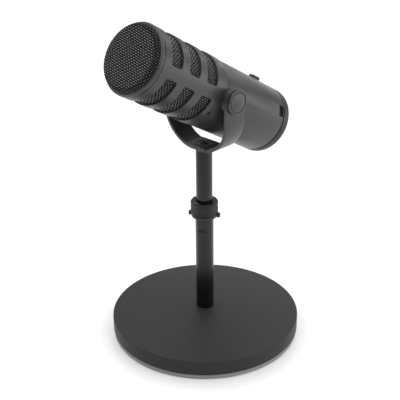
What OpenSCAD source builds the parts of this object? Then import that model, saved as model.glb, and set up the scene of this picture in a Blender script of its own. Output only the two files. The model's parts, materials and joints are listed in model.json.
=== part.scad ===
// Slotted dynamic microphone in a steel yoke, on a telescopic desk stand.
// Origin: centre of the stand's underside. +Z is up, and the microphone's nose points to -Y.

/* [Base] */
// Diameter of the round base plate
base_d = 187.5; // [170:0.5:205]
// Thickness of the non-slip pad under the base
pad_t = 4.6; // [3:0.1:6]
// Height of the base plate's side wall
base_wall_h = 15.2; // [12:0.1:18]
// Rise of the domed top from its rim to the centre
base_dome_h = 6.6; // [4:0.1:9]

/* [Stand tubes] */
// Outer diameter of the lower tube
lower_tube_d = 17.7; // [17.4:0.1:19]
// Outer diameter of the upper tube
upper_tube_d = 15.9; // [15.7:0.1:15.9]
// Height of the clutch collar's top rim above the table
collar_top_z = 143.7; // [135:0.5:150]
// Height of the clutch collar
collar_h = 14; // [13:0.5:16]
// Diameter of the clutch collar
collar_d = 26.8; // [26:0.2:29]
// Height of the upper tube's top end above the table
mast_top_z = 198.4; // [197:0.1:203]

/* [Yoke] */
// Height of the tilt axis above the table
pivot_z = 253.5; // [252:0.5:258]
// Width over the outside of the yoke's arms
yoke_outer_w = 80.6; // [80:0.2:84]
// Width of the strap at the tilt axis
yoke_arm_w = 24.2; // [24:0.2:26]
// Width of the strap at the yoke's floor
yoke_floor_w = 21; // [18:0.2:24]
// Thickness of the strap
yoke_t = 2.8; // [2.4:0.1:3]
// Outer radius of the yoke's two bends
yoke_bend_r = 35; // [33:0.5:39]
// Diameter of the tilt knobs
knob_d = 23.4; // [22:0.2:24]

/* [Microphone] */
// Nose-up tilt of the microphone at rest, in degrees
rest_tilt = 31; // [20:0.5:36]
// Diameter of the rear housing
body_d = 65; // [64:0.1:65.4]
// Diameter of the slotted head
head_d = 66.4; // [66:0.1:67]
// Distance from the tilt axis back to the rear edge
rear_len = 95.5; // [92:0.1:100]
// Distance from the tilt axis forward to the edge of the front grille
head_len = 99; // [98:0.1:102]
// Distance from the tilt axis to the front edge of the foremost slots
slot_front = 85.8; // [84:0.1:86.5]
// Length of a slot along the microphone
slot_w = 14.8; // [12:0.1:16]
// Distance from one pair of slots to the next
slot_pitch = 24.4; // [23:0.1:25]
// Half the width of the solid spine between an upper and a lower slot
spine_half = 5.7; // [4:0.1:8]

/* [Hidden] */

$fn = 96;
eps = 0.01;

// Clearances
run_gap = 0.05;      // radial gap of a shaft in its hole
face_gap = 0.1;      // gap between two faces that turn on each other
thread_gap = 0.05;   // radial gap that stands for a thread

// Base
base_r = base_d / 2;
pad_r = base_r - 0.9;
base_rim_z = pad_t + base_wall_h;
base_top_z = base_rim_z + base_dome_h;
base_round = 1.6;
bolt_r = 5;
bolt_head_r = 8;
bolt_head_h = 5;
bolt_recess_r = 11;
bolt_recess_h = 8;
washer_t = 2;

// Stand tubes
lower_r = lower_tube_d / 2;
upper_r = upper_tube_d / 2;
bore_r = upper_r + run_gap;
upper_wall = 1.1;
socket_depth = 3;
foot_z = base_top_z - socket_depth;
foot_plug_h = 15;
collar_r = collar_d / 2;
collar_z = collar_top_z - collar_h;
lower_top_z = collar_z + 5;
bush_z = 92;
bush_h = 3;
mast_plug_h = 18;

detent_angle = -66;
detent_z = 113.7;
detent_r = 1.3;
detent_depth = 0.6;

// Clutch
collet_r = 10.4;
collar_bore_r = collet_r + thread_gap;
ear_ring_t = 2.4;
ear_ring_r = 12.8;
ear_r = 2.5;
ear_reach = 15.6;
ear_angle = 31;
ear_overlap = 1;
ear_web_w = 3.2;
ear_web_stop = 0.4;   // the web ends this far short of the ear's outer face
rib_count = 40;

// Yoke and its bolt
swivel_t = 0.6;
swivel_r = 7.4;
yoke_z = mast_top_z + swivel_t + face_gap;
seat_half = 12;      // half the width of the flat seat in the yoke's floor
seat_h = 4.3;
yoke_floor_top = yoke_z + seat_h;
yoke_x = yoke_outer_w / 2;
yoke_bolt_r = 2;
yoke_bolt_head_r = 3.6;
yoke_bolt_head_h = 1.9;
yoke_bolt_sink = 1.5;  // depth of the round recess that the bolt's head sits in
seat_line_w = 0.9;     // fine groove along the seat's front and rear edges
seat_line_in = 0.5;
notch_x = seat_half + 0.6;
notch_w = 1.8;
notch_d = 2;

// Tilt pivot
stud_r = 3;
knob_r = knob_d / 2;
knob_t = 2.6;
knob_dome = 1.5;
knob_x = yoke_x + face_gap;
arm_in_x = yoke_x - yoke_t;
friction_t = 0.8;
spacer_out_x = arm_in_x - face_gap - friction_t;
spacer_r = 11;
insert_r = 5.5;
insert_in_x = 22;

// Microphone shells
body_r = body_d / 2;
body_in_r = body_r - 2.6;
head_r = head_d / 2;
head_wall = 2;
head_in_r = head_r - head_wall;
seam = 8;
spigot_len = 12;
ring_len = 8.6;
ring_gap = 1;
rear_face = -rear_len;
housing_rear = rear_face + ring_len + ring_gap;
front_ring_len = 4;
groove = 0.6;
head_end = head_len - front_ring_len;
grille_r = 31.4;
grille_round = 5;
grille_t = 1.2;
slot_round = 2.6;
slot_rows = 3;
screw_s = seam + 7;
screw_angles = [-123, 0, 123];
mesh_r = head_in_r - 0.15;
mesh_t = 0.7;

// Capsule
capsule_r = 20;
capsule_back = 44;
capsule_front = 76;
foam_in_r = 26;
foam_r = mesh_r - mesh_t - 0.3;

// Electronics
board_y = -6;
board_t = 1.6;
board_half_w = 23;
board_back = -66;
board_front = -14;
post_inset = 6;

// Rear panel
panel_t = 2.5;
panel_r = 28.4;
panel_back = rear_face + 4;
xlr_y = -9;
xlr_r = 9.6;
xlr_in_r = 8.2;
xlr_depth = 15;
xlr_pin_r = 1.2;
xlr_pin_circle = 4.6;
jack_pos = [-12, 13];
jack_r = 4;
jack_hole_r = 1.8;
jack_len = 14;
usb_pos = [10, 13];
usb_w = 9;
usb_h = 3.2;
usb_len = 8;

// Mute switch, on top towards the rear
mute_s = -60.7;
mute_len = 10.4;
mute_w = 6;
mute_rise = 3.1;
mute_notch_r = 1.1;
mute_travel = 3;

// Low-cut switch, beside the rear ring
lowcut_len = 7;
lowcut_h = 11;
lowcut_angle = 22.7;
lowcut_travel = 3;

// Places a shape from the microphone's own frame: origin on the tilt axis, +Z to the nose,
// +Y to the microphone's top side, +X to the near knob.
module mic_pose() {
    translate([0, 0, pivot_z]) rotate([90 - rest_tilt, 0, 0]) children();
}

// Points of an arc of radius r about [cx, cy]
function arc(cx, cy, r, from, to, steps) =
    [for (i = [0 : steps]) let (a = from + (to - from) * i / steps) [cx + r * cos(a), cy + r * sin(a)]];

// Ring about Z
module ring(r_out, r_in, z, h) {
    translate([0, 0, z]) difference() {
        cylinder(r = r_out, h = h);
        translate([0, 0, -1]) cylinder(r = r_in, h = h + 2);
    }
}

// Cylinder along +X that starts at x
module along_x(x, r, h) {
    translate([x, 0, 0]) rotate([0, 90, 0]) cylinder(r = r, h = h);
}

// Screw with a countersunk head whose top is flush at z = 0, pointing down
module countersunk(head_r, shank_r, length) {
    difference() {
        union() {
            translate([0, 0, -head_r + shank_r]) cylinder(r1 = shank_r, r2 = head_r, h = head_r - shank_r);
            translate([0, 0, -length]) cylinder(r = shank_r, h = length - head_r + shank_r + eps);
        }
        translate([0, 0, -head_r * 0.55]) cylinder(r = head_r * 0.5, h = head_r, $fn = 6);
    }
}

/* ---- Stand ---- */

function dome_z(r) = base_top_z - base_dome_h * pow(r / base_r, 2);

module base_plate() {
    shoulder = base_r - base_round;
    color("#26272a") difference() {
        rotate_extrude() polygon(concat(
            [[0, pad_t], [base_r - 1, pad_t], [base_r, pad_t + 1]],
            arc(shoulder, base_rim_z - base_round, base_round, 0, 80, 5),
            [for (i = [11 : -1 : 0]) [shoulder * i / 12, dome_z(shoulder * i / 12)]]
        ));
        translate([0, 0, pad_t - 1]) cylinder(r = bolt_recess_r, h = bolt_recess_h + 1);
        cylinder(r = bolt_r + 0.3, h = base_top_z + 1);
        translate([0, 0, foot_z]) cylinder(r = lower_r + thread_gap, h = socket_depth + 1);
    }
}

module base_pad() {
    color("#b9babb") cylinder(r = pad_r, h = pad_t);
}

module base_bolt() {
    head_z = pad_t + bolt_recess_h - washer_t - bolt_head_h;
    color("#8c8f93") difference() {
        union() {
            translate([0, 0, head_z]) cylinder(r = bolt_head_r, h = bolt_head_h);
            translate([0, 0, head_z + bolt_head_h - eps])
                cylinder(r = bolt_r, h = foot_z + foot_plug_h - 2 - head_z - bolt_head_h);
        }
        translate([0, 0, head_z - 1]) cylinder(r = 4.6, h = 4, $fn = 6);
    }
}

module base_washer() {
    color("#9a9da1") ring(bolt_recess_r - 1, bolt_r + 0.3, pad_t + bolt_recess_h - washer_t, washer_t);
}

module foot_plug() {
    color("#7d8085") ring(bore_r - thread_gap, bolt_r + thread_gap, foot_z, foot_plug_h);
}

module lower_tube() {
    color("#0c0c0d") difference() {
        ring(lower_r, bore_r, foot_z, lower_top_z - foot_z);
        rotate([0, 0, detent_angle]) translate([lower_r + detent_r - detent_depth, 0, detent_z])
            rotate([90, 0, 0]) translate([0, 0, -10]) cylinder(r = detent_r, h = 20);
    }
}

module clutch_ear_ring() {
    color("#1b1b1c") difference() {
        union() {
            translate([0, 0, collar_z - ear_ring_t - face_gap]) cylinder(r = ear_ring_r, h = ear_ring_t);
            for (side = [0, 180]) rotate([0, 0, ear_angle + side]) {
                // web from inside the ring's rim to inside the ear, so that ring and ears are one piece
                translate([ear_ring_r - ear_overlap, -ear_web_w / 2, collar_z - ear_ring_t - face_gap])
                    cube([ear_reach - ear_ring_r + ear_overlap - ear_web_stop, ear_web_w, ear_ring_t]);
                translate([collar_r + 0.25, 0, collar_z - 0.6]) rotate([0, 90, 0])
                    cylinder(r = ear_r, h = ear_reach - collar_r - 0.25);
            }
        }
        translate([0, 0, collar_z - 10]) cylinder(r = lower_r + thread_gap, h = 20);
    }
}

module clutch_collet() {
    low_z = collar_z + 0.3;
    color("#303133") difference() {
        translate([0, 0, low_z]) cylinder(r = collet_r, h = 8);
        translate([0, 0, low_z - 1])
            cylinder(r = lower_r + thread_gap, h = lower_top_z - low_z + 1 + thread_gap);
        translate([0, 0, low_z]) cylinder(r = bore_r, h = 10);
        for (a = [0 : 60 : 300]) rotate([0, 0, a])
            translate([0, -0.4, lower_top_z + 1]) cube([collet_r + 1, 0.8, 8]);
    }
}

module clutch_collar() {
    lip_r = 9.5;
    recess_r = collar_r - 2;
    color("#161617") difference() {
        rotate_extrude() polygon([
            [collar_bore_r, collar_z], [collar_r - 0.6, collar_z], [collar_r, collar_z + 1],
            [collar_r, collar_top_z - 1.4], [collar_r - 1.1, collar_top_z], [recess_r, collar_top_z],
            [lip_r, collar_top_z - 3.4], [lip_r, collar_top_z - 2.4], [bore_r + 0.3, collar_top_z - 2.4],
            [bore_r + 0.3, collar_top_z - 5], [collar_bore_r, collar_top_z - 5.5]
        ]);
        for (i = [0 : rib_count - 1]) rotate([0, 0, i * 360 / rib_count])
            translate([collar_r + 0.25, 0, collar_z + 1.6]) cylinder(r = 0.5, h = collar_h - 3.6, $fn = 16);
    }
}

module upper_tube() {
    color("#0e0e0f") ring(upper_r, upper_r - upper_wall, bush_z + bush_h, mast_top_z - bush_z - bush_h);
}

module guide_bush() {
    color("#3a3b3d") union() {
        ring(upper_r + run_gap / 2, 3, bush_z, bush_h);
        ring(upper_r - upper_wall - 0.02, 3, bush_z + bush_h - eps, 8);
    }
}

module mast_plug() {
    color("#8a8d91") difference() {
        translate([0, 0, mast_top_z - mast_plug_h])
            cylinder(r = upper_r - upper_wall - 0.02, h = mast_plug_h);
        translate([0, 0, mast_top_z - 14]) cylinder(r = yoke_bolt_r + thread_gap, h = 20);
    }
}

module swivel_washer() {
    color("#3a3b3e") ring(swivel_r, yoke_bolt_r + 0.2, mast_top_z, swivel_t);
}

module yoke_bolt() {
    head_z = yoke_floor_top - yoke_bolt_sink + face_gap;
    color("#2b2c2e") difference() {
        union() {
            translate([0, 0, head_z]) cylinder(r = yoke_bolt_head_r, h = yoke_bolt_head_h);
            translate([0, 0, mast_top_z - 12]) cylinder(r = yoke_bolt_r, h = head_z - mast_top_z + 12 + eps);
        }
        translate([0, 0, head_z + 0.7]) cylinder(r = 1.7, h = 4, $fn = 6);
    }
}

/* ---- Yoke ---- */

// Side outline of the strap, from its floor up to the round ends of its arms
module yoke_outline() {
    bend_top = yoke_z + yoke_bend_r;
    union() {
        polygon([
            [-yoke_floor_w / 2, yoke_z - 1], [yoke_floor_w / 2, yoke_z - 1],
            [yoke_floor_w / 2, yoke_floor_top + 2], [yoke_arm_w / 2, bend_top],
            [yoke_arm_w / 2, pivot_z], [-yoke_arm_w / 2, pivot_z],
            [-yoke_arm_w / 2, bend_top], [-yoke_floor_w / 2, yoke_floor_top + 2]
        ]);
        translate([0, pivot_z]) circle(r = yoke_arm_w / 2);
    }
}

// One bend of the strap, as a quarter of a tube along Y, on the side that sx names
module yoke_bend(sx) {
    translate([sx * (yoke_x - yoke_bend_r), 0, yoke_z + yoke_bend_r]) intersection() {
        rotate([90, 0, 0]) translate([0, 0, -30]) difference() {
            cylinder(r = yoke_bend_r, h = 60);
            translate([0, 0, -1]) cylinder(r = yoke_bend_r - yoke_t, h = 62);
        }
        translate([sx > 0 ? 0 : -50, -50, -50]) cube([50, 100, 50]);
    }
}

// Flat seat that fills the bottom of the bow up to the bolt's head
module yoke_seat() {
    intersection() {
        translate([-seat_half, -30, yoke_z]) cube([2 * seat_half, 60, seat_h]);
        union() {
            for (sx = [-1, 1]) translate([sx * (yoke_x - yoke_bend_r), 0, yoke_z + yoke_bend_r])
                rotate([90, 0, 0]) translate([0, 0, -30]) cylinder(r = yoke_bend_r, h = 60);
        }
    }
}

module yoke() {
    flat_half = yoke_x - yoke_bend_r;
    arm_z = yoke_z + yoke_bend_r;
    color("#3c3d40") difference() {
        intersection() {
            union() {
                translate([-flat_half, -30, yoke_z]) cube([2 * flat_half, 60, yoke_t]);
                yoke_seat();
                for (sx = [-1, 1]) {
                    yoke_bend(sx);
                    translate([sx > 0 ? arm_in_x : -yoke_x, -30, arm_z]) cube([yoke_t, 60, 100]);
                }
            }
            rotate([90, 0, 90]) translate([0, 0, -60]) linear_extrude(120) yoke_outline();
        }
        translate([0, 0, yoke_z - 1]) cylinder(r = yoke_bolt_r + run_gap, h = seat_h + 2);
        translate([0, 0, yoke_floor_top - yoke_bolt_sink])
            cylinder(r = yoke_bolt_head_r + 0.5, h = yoke_bolt_sink + 1);
        for (y = [-yoke_floor_w / 2 + seat_line_in, yoke_floor_w / 2 - seat_line_in - seat_line_w])
            translate([-seat_half + 0.5, y, yoke_floor_top - 0.8]) cube([2 * seat_half - 1, seat_line_w, 2]);
        translate([0, 0, pivot_z]) along_x(-60, stud_r + run_gap, 120);
        translate([notch_x - notch_w / 2, -yoke_floor_w, yoke_z - 1])
            cube([notch_w, yoke_floor_w / 2 + notch_d, seat_h + 4]);
    }
}

/* ---- Tilt pivot: these parts turn with the microphone ---- */

module knob_on_x() {
    rise = knob_t + knob_dome;
    mic_pose() translate([knob_x, 0, 0]) rotate([0, 90, 0]) difference() {
        rotate_extrude() polygon([
            [0, 0], [knob_r - 0.5, 0], [knob_r, 0.5], [knob_r, knob_t - 0.6], [knob_r - 1.7, knob_t + 0.5],
            [knob_r - 3.5, knob_t + 1.1], [knob_r * 0.4, rise - 0.1], [0, rise]
        ]);
        translate([0, 0, -1]) cylinder(r = stud_r + thread_gap, h = knob_t);
    }
}

module knob_screw_on_x() {
    mic_pose() along_x(insert_in_x + 2, stud_r, knob_x + knob_t - 1.1 - insert_in_x - 2);
}

module right_knob() { color("#2f3034") knob_on_x(); }
module left_knob() { color("#2f3034") mirror([1, 0, 0]) knob_on_x(); }
module right_knob_screw() { color("#9a9ca0") knob_screw_on_x(); }
module left_knob_screw() { color("#9a9ca0") mirror([1, 0, 0]) knob_screw_on_x(); }

module both_sides() {
    children();
    mirror([1, 0, 0]) children();
}

module pivot_spacers() {
    color("#2d2e31") mic_pose() both_sides() difference() {
        along_x(body_r - 4, spacer_r, spacer_out_x - body_r + 4);
        translate([0, 0, -50]) cylinder(r = body_r + 0.02, h = 100);
        translate([0, 0, seam]) cylinder(r = head_r + 0.02, h = 50);
        along_x(0, insert_r + 0.02, 60);
    }
}

module pivot_inserts() {
    color("#b08d57") mic_pose() both_sides() difference() {
        along_x(insert_in_x, insert_r, spacer_out_x - insert_in_x);
        along_x(insert_in_x - 1, stud_r + thread_gap, 60);
    }
}

module friction_washers() {
    color("#111112") mic_pose() both_sides() difference() {
        along_x(spacer_out_x, spacer_r - 0.4, friction_t);
        along_x(spacer_out_x - 1, stud_r + 0.1, 10);
    }
}

/* ---- Microphone shells ---- */

// Cuts the low-cut switch's window through the near side of a wall
module lowcut_window(margin) {
    rotate([0, 0, lowcut_angle]) translate([body_r - 6, -lowcut_h / 2 - margin, housing_rear + 0.8 - margin])
        cube([12, lowcut_h + 2 * margin, lowcut_len + 2 * margin]);
}

module rear_housing() {
    color("#3a3b3e") mic_pose() difference() {
        union() {
            ring(body_r, body_in_r, housing_rear, seam - housing_rear);
            ring(head_in_r - 0.03, body_in_r, seam - 4, spigot_len + 4);
            ring(body_in_r + 1, panel_r + 0.05, housing_rear - 4, 7);
        }
        both_sides() along_x(20, insert_r + 0.02, 30);
        translate([-mute_w / 2 - 1.5, body_in_r - 6, mute_s - mute_len / 2 - mute_travel - 1.5])
            cube([mute_w + 3, 20, mute_len + mute_travel + 3]);
        lowcut_window(0);
        for (a = screw_angles) rotate([0, 0, a]) translate([0, head_r, screw_s]) rotate([-90, 0, 0])
            translate([0, 0, -10]) cylinder(r = 1.3, h = 12);
    }
}

// Outline of one slot seen from the side: its inner corners are round
module slot_outline() {
    y0 = spine_half;
    union() {
        translate([y0 + slot_round, 0]) square([50, slot_w]);
        translate([y0, slot_round]) square([slot_round + 1, slot_w - 2 * slot_round]);
        for (z = [slot_round, slot_w - slot_round]) translate([y0 + slot_round, z]) circle(r = slot_round);
    }
}

module head_frame() {
    color("#424346") mic_pose() difference() {
        rotate_extrude() polygon([
            [head_in_r, seam + 0.1], [head_r - 0.5, seam + 0.1], [head_r, seam + 0.8],
            [head_r, head_end - groove], [head_r - 0.6, head_end - groove], [head_r - 0.6, head_end],
            [head_in_r, head_end]
        ]);
        for (i = [0 : slot_rows - 1], side = [0, 180])
            rotate([0, 0, side]) translate([-50, 0, slot_front - slot_w - i * slot_pitch])
                rotate([90, 0, 90]) linear_extrude(100) slot_outline();
        for (a = screw_angles) rotate([0, 0, a]) translate([0, head_r, screw_s]) rotate([-90, 0, 0]) {
            translate([0, 0, -10]) cylinder(r = 1.3, h = 12);
            translate([0, 0, -1.2]) cylinder(r1 = 1.3, r2 = 2.9, h = 1.6);
        }
    }
}

module housing_screws() {
    color("#77797d") mic_pose() for (a = screw_angles) rotate([0, 0, a])
        translate([0, head_r - 0.35, screw_s]) rotate([-90, 0, 0]) countersunk(1.9, 1.2, 4.5);
}

module side_mesh() {
    color("#5b5c5e") mic_pose() ring(mesh_r, mesh_r - mesh_t, seam + spigot_len + 0.2,
                                     head_end - seam - spigot_len - 0.4);
}

module front_ring() {
    color("#4a4b4e") mic_pose() rotate_extrude() polygon([
        [grille_r + 0.05, head_end + 0.02], [head_r, head_end + 0.02], [head_r, head_end + 1.9],
        [head_r - 0.5, head_end + 2.9], [grille_r + 0.4, head_len], [grille_r + 0.05, head_len]
    ]);
}

module front_grille() {
    face = head_len + grille_round;
    inner_round = grille_round - grille_t;
    color("#57585a") mic_pose() rotate_extrude() polygon(concat(
        [[0, face - grille_t], [0, face]],
        arc(grille_r - grille_round, head_len, grille_round, 90, 0, 6),
        [[grille_r, head_end + 0.4], [grille_r - grille_t, head_end + 0.4]],
        arc(grille_r - grille_round, head_len, inner_round, 0, 90, 5)
    ));
}

module head_foam() {
    back = seam + spigot_len + 1;
    color("#1a1a1a") mic_pose() difference() {
        union() {
            translate([0, 0, back]) cylinder(r = foam_r, h = head_end - 1 - back);
            translate([0, 0, head_end - 2]) cylinder(r = grille_r - grille_round - 0.3, h = 6);
        }
        translate([0, 0, back - 1]) cylinder(r = foam_in_r, h = head_end - 4 - back);
    }
}

module bulkhead() {
    color("#2a2a2b") mic_pose() difference() {
        translate([0, 0, seam + spigot_len - 3]) cylinder(r = body_in_r - 0.05, h = 3);
        translate([0, 12, 0]) cylinder(r = 3, h = 30);
    }
}

/* ---- Capsule ---- */

module capsule_housing() {
    color("#6b6d70") mic_pose() union() {
        ring(capsule_r, capsule_r - 1.5, capsule_back, capsule_front - capsule_back);
        ring(capsule_r - 1.5 + eps, 1.6, capsule_back, 2);
    }
}

module capsule_cap() {
    color("#8b8d90") mic_pose() difference() {
        translate([0, 0, capsule_front]) cylinder(r = capsule_r, h = 2);
        for (i = [0 : 5]) rotate([0, 0, i * 60]) translate([10, 0, capsule_front - 1]) cylinder(r = 2, h = 4);
        translate([0, 0, capsule_front - 1]) cylinder(r = 2, h = 4);
    }
}

module diaphragm() {
    rim_r = capsule_r - 1.6;
    z = capsule_front - 4;
    color("#d8dadb", 0.6) mic_pose() rotate_extrude() polygon([
        [0, z + 2], [6, z + 1.7], [11, z + 0.6], [rim_r, z], [rim_r, z - 0.3], [11, z + 0.3],
        [6, z + 1.4], [0, z + 1.7]
    ]);
}

module voice_coil() {
    color("#b0703a") mic_pose() ring(11.9, 11.3, capsule_front - 11, 6.8);
}

module magnet() {
    color("#5a5d61") mic_pose() translate([0, 0, capsule_back + 6.05]) cylinder(r = 10.6, h = 19);
}

module pole_cup() {
    color("#85888c") mic_pose() union() {
        ring(capsule_r - 1.6, 12.6, capsule_back + 6, capsule_front - 9 - capsule_back - 6);
        translate([0, 0, capsule_back + 2.05]) cylinder(r = capsule_r - 1.6, h = 4);
    }
}

module shock_mounts() {
    color("#202021") mic_pose() for (z = [capsule_back + 4, capsule_front - 8])
        ring(foam_in_r - 0.05, capsule_r + 0.05, z, 4);
}

module capsule_leads() {
    color("#a33030") mic_pose() for (x = [-1.4, 1.4])
        translate([x, 12, seam + spigot_len - 2.9])
            cylinder(r = 0.6, h = capsule_back - seam - spigot_len + 2.8, $fn = 16);
}

/* ---- Electronics ---- */

module board_corners() {
    for (x = [-1, 1] * (board_half_w - post_inset), z = [board_back + post_inset, board_front - post_inset])
        translate([x, board_y, z]) rotate([-90, 0, 0]) children();
}

module main_board() {
    color("#1f5a34") mic_pose() difference() {
        translate([-board_half_w, board_y, board_back])
            cube([2 * board_half_w, board_t, board_front - board_back]);
        board_corners() translate([0, 0, -1]) cylinder(r = 1.3, h = 4);
    }
}

module board_parts() {
    top = board_y + board_t + 0.02;
    color("#17181a") mic_pose() union() {
        translate([-6, top, -52]) cube([12, 1.4, 12]);
        translate([-16, top, -36]) cube([8, 1.2, 7]);
        translate([9, top, -34]) cube([7, 1.2, 5]);
        for (x = [-13, -4, 5]) translate([x, top, -24]) rotate([-90, 0, 0]) cylinder(r = 2.5, h = 6);
    }
}

module board_posts() {
    color("#c2c4c6") mic_pose() intersection() {
        difference() {
            board_corners() translate([0, 0, -30]) cylinder(r = 2.6, h = 29.98);
            board_corners() translate([0, 0, -6]) cylinder(r = 1.25, h = 7);
        }
        translate([0, 0, -120]) cylinder(r = body_in_r - 0.02, h = 160);
    }
}

module board_screws() {
    color("#a9abad") mic_pose() board_corners() union() {
        translate([0, 0, board_t + 0.02]) cylinder(r = 2.2, h = 1.4);
        translate([0, 0, -4.5]) cylinder(r = 1.2, h = 4.5 + board_t + 0.03);
    }
}

/* ---- Rear ---- */

module rear_ring() {
    color("#4b4c4f") mic_pose() rotate_extrude() polygon([
        [panel_r + 0.05, rear_face + 0.8], [panel_r + 0.8, rear_face], [body_r - 0.8, rear_face],
        [body_r, rear_face + 0.8], [body_r, rear_face + ring_len], [body_in_r + 1.3, rear_face + ring_len],
        [body_in_r + 1.3, panel_back - 1], [panel_r + 0.05, panel_back - 1]
    ]);
}

module usb_profile(margin) {
    r = usb_h / 2 + margin;
    translate(usb_pos) {
        square([usb_w - usb_h, 2 * r], center = true);
        for (x = [-1, 1] * (usb_w - usb_h) / 2) translate([x, 0]) circle(r = r);
    }
}

panel_screw_spots = [[-17, -17], [17, -17], [0, 23]];

module rear_panel() {
    color("#232325") mic_pose() difference() {
        translate([0, 0, panel_back]) cylinder(r = panel_r, h = panel_t);
        translate([0, xlr_y, panel_back - 1]) cylinder(r = xlr_r + 0.05, h = 10);
        translate([jack_pos[0], jack_pos[1], panel_back - 1]) cylinder(r = jack_r + 0.05, h = 10);
        translate([0, 0, panel_back - 1]) linear_extrude(10) usb_profile(0.55);
        for (p = panel_screw_spots) translate([p[0], p[1], panel_back - 1]) cylinder(r = 1.55, h = 10);
    }
}

module panel_screws() {
    color("#8f9194") mic_pose() for (p = panel_screw_spots) translate([p[0], p[1], panel_back]) {
        translate([0, 0, -1.3]) cylinder(r = 2.4, h = 1.28);
        translate([0, 0, -0.1]) cylinder(r = 1.5, h = 6);
    }
}

module xlr_shell() {
    color("#9c9fa3") mic_pose() translate([0, xlr_y, 0]) union() {
        ring(xlr_r, xlr_in_r, panel_back - 1.5, xlr_depth + 1.5);
        ring(xlr_r + 1.2, xlr_in_r, panel_back - 1.5, 1.48);
    }
}

module xlr_insert() {
    color("#151516") mic_pose() difference() {
        translate([0, xlr_y, panel_back + xlr_depth]) cylinder(r = xlr_r, h = 5);
        xlr_pin_places() cylinder(r = xlr_pin_r + 0.02, h = 60);
    }
}

module xlr_pin_places() {
    for (a = [0, 180, 270])
        translate([xlr_pin_circle * cos(a), xlr_y + xlr_pin_circle * sin(a), panel_back + 2]) children();
}

module xlr_pins() {
    color("#c9ccce") mic_pose() xlr_pin_places() cylinder(r = xlr_pin_r, h = xlr_depth + 6);
}

module usb_shell() {
    color("#b5b8bb") mic_pose() translate([0, 0, panel_back]) difference() {
        linear_extrude(usb_len) usb_profile(0.5);
        translate([0, 0, -1]) linear_extrude(usb_len - 0.5) usb_profile(0);
    }
}

module usb_tongue() {
    color("#1a1a1b") mic_pose() translate([usb_pos[0] - 3.3, usb_pos[1] - 0.35, panel_back + 1.5])
        cube([6.6, 0.7, usb_len - 3.02]);
}

module headphone_jack() {
    color("#2c2d2f") mic_pose() translate([jack_pos[0], jack_pos[1], panel_back - 0.6]) difference() {
        union() {
            cylinder(r = jack_r, h = jack_len + 2);
            cylinder(r = jack_r + 0.8, h = 0.58);
        }
        translate([0, 0, -eps]) cylinder(r = jack_hole_r, h = jack_len);
    }
}

/* ---- Switches ---- */

module mute_bezel() {
    color("#1c1c1d") mic_pose() difference() {
        intersection() {
            translate([-mute_w / 2 - 1.45, body_in_r - 1.5, mute_s - mute_len / 2 - mute_travel - 1.45])
                cube([mute_w + 2.9, 8, mute_len + mute_travel + 2.9]);
            translate([0, 0, -120]) cylinder(r = body_r - 0.15, h = 160);
        }
        translate([-mute_w / 2 - 0.1, body_in_r - 3, mute_s - mute_len / 2 - mute_travel - 0.3])
            cube([mute_w + 0.2, 12, mute_len + mute_travel + 0.6]);
    }
}

// Slider with two raised blocks, parted by a round groove for a fingernail
module mute_slider() {
    low_y = body_in_r - 1.4;
    top_y = body_r + mute_rise;
    half = mute_len / 2;
    color("#0f0f10") mic_pose() difference() {
        translate([-mute_w / 2, low_y, mute_s - half]) cube([mute_w, top_y - low_y, mute_len]);
        translate([-20, top_y, mute_s]) rotate([0, 90, 0]) cylinder(r = mute_notch_r, h = 40);
        for (i = [-1, 1]) translate([-20, top_y, mute_s + i * mute_len / 4]) rotate([0, 90, 0])
            cylinder(r = 0.35, h = 40, $fn = 16);
    }
}

module mute_switch_body() {
    color("#3a3d42") mic_pose() translate([-5, body_in_r - 7.5, mute_s - 8]) cube([10, 6, 16]);
}

module lowcut_frame() {
    depth = 2.2;
    color("#101011") mic_pose() rotate([0, 0, lowcut_angle]) difference() {
        translate([body_in_r - depth - 1.2, -lowcut_h / 2 + 0.05, housing_rear + 0.85])
            cube([depth + 1.6, lowcut_h - 0.1, lowcut_len - 0.1]);
        translate([body_in_r - depth, -lowcut_h / 2 + 1, housing_rear + 1.8])
            cube([10, lowcut_h - 2, lowcut_len - 2]);
    }
}

module lowcut_slider() {
    color("#1d1d1f") mic_pose() rotate([0, 0, lowcut_angle])
        translate([body_in_r - 2.1, 1.1 - lowcut_h / 2, housing_rear + 1.9])
            cube([2.8, lowcut_h - 2.2 - lowcut_travel, lowcut_len - 2.2]);
}

base_plate();
base_pad();
base_bolt();
base_washer();
foot_plug();
lower_tube();
clutch_collet();
clutch_ear_ring();
clutch_collar();
upper_tube();
guide_bush();
mast_plug();
swivel_washer();
yoke_bolt();
yoke();
left_knob();
left_knob_screw();
right_knob();
right_knob_screw();
pivot_spacers();
pivot_inserts();
friction_washers();
rear_housing();
head_frame();
side_mesh();
front_ring();
front_grille();
head_foam();
housing_screws();
bulkhead();
capsule_housing();
capsule_cap();
diaphragm();
voice_coil();
magnet();
pole_cup();
shock_mounts();
capsule_leads();
main_board();
board_parts();
board_posts();
board_screws();
rear_ring();
rear_panel();
panel_screws();
xlr_shell();
xlr_insert();
xlr_pins();
usb_shell();
usb_tongue();
headphone_jack();
mute_bezel();
mute_slider();
mute_switch_body();
lowcut_frame();
lowcut_slider();
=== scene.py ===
# Looks for the desktop microphone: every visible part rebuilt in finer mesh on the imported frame.
import json
import math
import bpy
import bmesh
from mathutils import Matrix, Vector

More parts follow.
